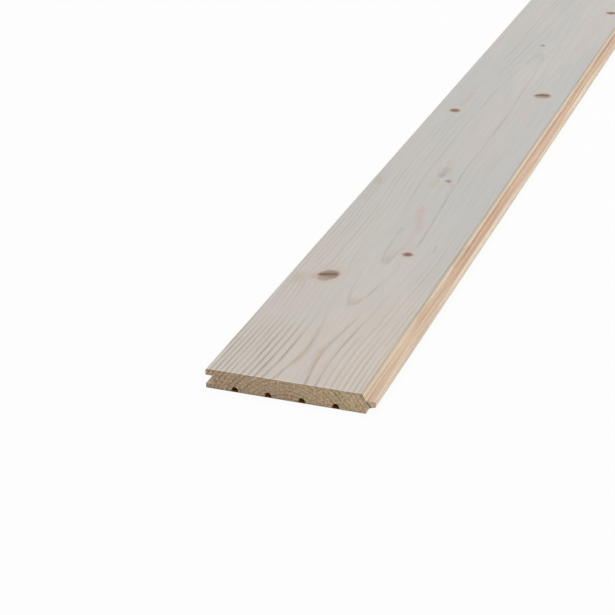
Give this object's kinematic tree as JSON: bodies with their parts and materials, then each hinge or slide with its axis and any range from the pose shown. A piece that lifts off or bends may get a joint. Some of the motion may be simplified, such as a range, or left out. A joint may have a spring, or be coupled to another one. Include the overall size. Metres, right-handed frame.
{
  "type": "wall cladding board",
  "caption": "Planed softwood tongue-and-groove cladding board: flat face with a V joint, and round-topped relief grooves along the back.",
  "frame": {"origin": "middle of the back, at the centre of the overall bounding box", "axes": "+X across the board from the groove side to the tongue side, +Y along the board, +Z out of the visible face"},
  "size_m": [0.121, 2, 0.014],
  "materials": {
    "wood": "planed"
  },
  "bodies": {
    "root": {"cladding_board": "wood"}
  },
  "joints": []
}
